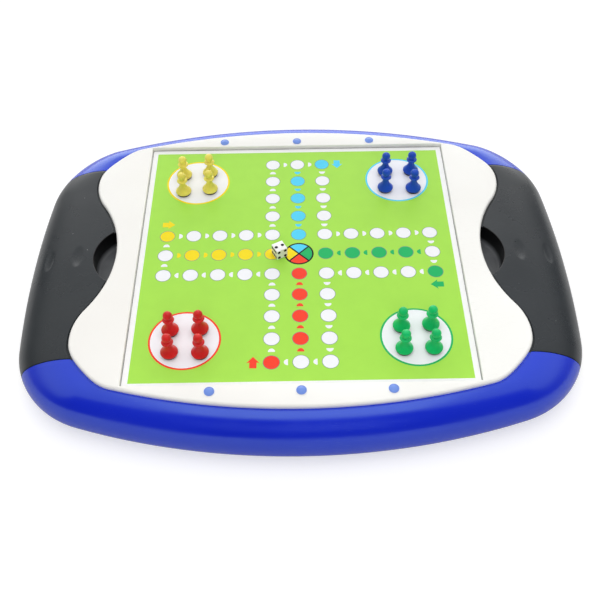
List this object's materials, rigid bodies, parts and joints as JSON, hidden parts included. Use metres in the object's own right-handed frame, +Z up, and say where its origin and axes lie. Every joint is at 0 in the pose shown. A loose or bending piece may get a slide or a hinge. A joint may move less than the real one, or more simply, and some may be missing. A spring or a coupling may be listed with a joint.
{
  "type": "magnetic ludo board case with two drawers",
  "caption": "Rounded moulded ludo board case: steel-backed board card in a white top plate, pull-out storage drawers at both sides, magnetic pawns and a die.",
  "frame": {"origin": "middle of the case's flat base, on the surface it rests on", "axes": "+X to the right-hand drawer, +Y to the back rim, +Z up through the board"},
  "size_m": [0.3672, 0.2844, 0.0525],
  "materials": {
    "blue_case": "semi-gloss moulded plastic, royal blue",
    "white_plate": "satin moulded plastic, warm white",
    "blue_pin": "moulded plastic pin, light blue",
    "black_drawer": "moulded plastic, black",
    "black_grip": "fine satin moulded plastic, black",
    "board_card": "printed and varnished board card, light green with a white border",
    "tinned_steel": "bare tinned sheet",
    "zinc_screw": "zinc-plated",
    "die_white": "polished white plastic with black pips",
    "magnet_black": "black bonded magnet disc",
    "pawn_yellow": "glossy moulded plastic, yellow",
    "pawn_blue": "glossy moulded plastic, blue",
    "pawn_red": "glossy moulded plastic, red",
    "pawn_green": "glossy moulded plastic, green"
  },
  "bodies": {
    "case": {"case_top": "blue_case", "case_base": "blue_case", "case_screws": "zinc_screw", "top_plate": "white_plate", "plate_pins": "blue_pin", "steel_sheet": "tinned_steel"},
    "left_drawer": {"left_drawer_tray": "black_drawer", "left_grip_cover": "black_grip", "left_drawer_screws": "zinc_screw"},
    "right_drawer": {"right_drawer_tray": "black_drawer", "right_grip_cover": "black_grip", "right_drawer_screws": "zinc_screw"},
    "board_card": {"board_card": "board_card"},
    "die": {"die": "die_white"},
    "yellow_pawn_1": {"yellow_pawn_1": "pawn_yellow", "yellow_magnet_1": "magnet_black"},
    "yellow_pawn_2": {"yellow_pawn_2": "pawn_yellow", "yellow_magnet_2": "magnet_black"},
    "yellow_pawn_3": {"yellow_pawn_3": "pawn_yellow", "yellow_magnet_3": "magnet_black"},
    "yellow_pawn_4": {"yellow_pawn_4": "pawn_yellow", "yellow_magnet_4": "magnet_black"},
    "blue_pawn_1": {"blue_pawn_1": "pawn_blue", "blue_magnet_1": "magnet_black"},
    "blue_pawn_2": {"blue_pawn_2": "pawn_blue", "blue_magnet_2": "magnet_black"},
    "blue_pawn_3": {"blue_pawn_3": "pawn_blue", "blue_magnet_3": "magnet_black"},
    "blue_pawn_4": {"blue_pawn_4": "pawn_blue", "blue_magnet_4": "magnet_black"},
    "red_pawn_1": {"red_pawn_1": "pawn_red", "red_magnet_1": "magnet_black"},
    "red_pawn_2": {"red_pawn_2": "pawn_red", "red_magnet_2": "magnet_black"},
    "red_pawn_3": {"red_pawn_3": "pawn_red", "red_magnet_3": "magnet_black"},
    "red_pawn_4": {"red_pawn_4": "pawn_red", "red_magnet_4": "magnet_black"},
    "green_pawn_1": {"green_pawn_1": "pawn_green", "green_magnet_1": "magnet_black"},
    "green_pawn_2": {"green_pawn_2": "pawn_green", "green_magnet_2": "magnet_black"},
    "green_pawn_3": {"green_pawn_3": "pawn_green", "green_magnet_3": "magnet_black"},
    "green_pawn_4": {"green_pawn_4": "pawn_green", "green_magnet_4": "magnet_black"}
  },
  "joints": [
    {"name": "left_drawer_slide", "type": "slide", "parent": "case", "child": "left_drawer", "axis": [-1, 0, 0], "range_m": [0, 0.06]},
    {"name": "right_drawer_slide", "type": "slide", "parent": "case", "child": "right_drawer", "axis": [1, 0, 0], "range_m": [0, 0.06]},
    {"name": "board_card_lift", "type": "slide", "parent": "case", "child": "board_card", "axis": [0, 0, 1], "range_m": [0, 0.02]},
    {"name": "die_lift", "type": "slide", "parent": "board_card", "child": "die", "axis": [0, 0, 1], "range_m": [0, 0.03]},
    {"name": "yellow_pawn_1_lift", "type": "slide", "parent": "board_card", "child": "yellow_pawn_1", "axis": [0, 0, 1], "range_m": [0, 0.03]},
    {"name": "yellow_pawn_2_lift", "type": "slide", "parent": "board_card", "child": "yellow_pawn_2", "axis": [0, 0, 1], "range_m": [0, 0.03]},
    {"name": "yellow_pawn_3_lift", "type": "slide", "parent": "board_card", "child": "yellow_pawn_3", "axis": [0, 0, 1], "range_m": [0, 0.03]},
    {"name": "yellow_pawn_4_lift", "type": "slide", "parent": "board_card", "child": "yellow_pawn_4", "axis": [0, 0, 1], "range_m": [0, 0.03]},
    {"name": "blue_pawn_1_lift", "type": "slide", "parent": "board_card", "child": "blue_pawn_1", "axis": [0, 0, 1], "range_m": [0, 0.03]},
    {"name": "blue_pawn_2_lift", "type": "slide", "parent": "board_card", "child": "blue_pawn_2", "axis": [0, 0, 1], "range_m": [0, 0.03]},
    {"name": "blue_pawn_3_lift", "type": "slide", "parent": "board_card", "child": "blue_pawn_3", "axis": [0, 0, 1], "range_m": [0, 0.03]},
    {"name": "blue_pawn_4_lift", "type": "slide", "parent": "board_card", "child": "blue_pawn_4", "axis": [0, 0, 1], "range_m": [0, 0.03]},
    {"name": "red_pawn_1_lift", "type": "slide", "parent": "board_card", "child": "red_pawn_1", "axis": [0, 0, 1], "range_m": [0, 0.03]},
    {"name": "red_pawn_2_lift", "type": "slide", "parent": "board_card", "child": "red_pawn_2", "axis": [0, 0, 1], "range_m": [0, 0.03]},
    {"name": "red_pawn_3_lift", "type": "slide", "parent": "board_card", "child": "red_pawn_3", "axis": [0, 0, 1], "range_m": [0, 0.03]},
    {"name": "red_pawn_4_lift", "type": "slide", "parent": "board_card", "child": "red_pawn_4", "axis": [0, 0, 1], "range_m": [0, 0.03]},
    {"name": "green_pawn_1_lift", "type": "slide", "parent": "board_card", "child": "green_pawn_1", "axis": [0, 0, 1], "range_m": [0, 0.03]},
    {"name": "green_pawn_2_lift", "type": "slide", "parent": "board_card", "child": "green_pawn_2", "axis": [0, 0, 1], "range_m": [0, 0.03]},
    {"name": "green_pawn_3_lift", "type": "slide", "parent": "board_card", "child": "green_pawn_3", "axis": [0, 0, 1], "range_m": [0, 0.03]},
    {"name": "green_pawn_4_lift", "type": "slide", "parent": "board_card", "child": "green_pawn_4", "axis": [0, 0, 1], "range_m": [0, 0.03]}
  ]
}
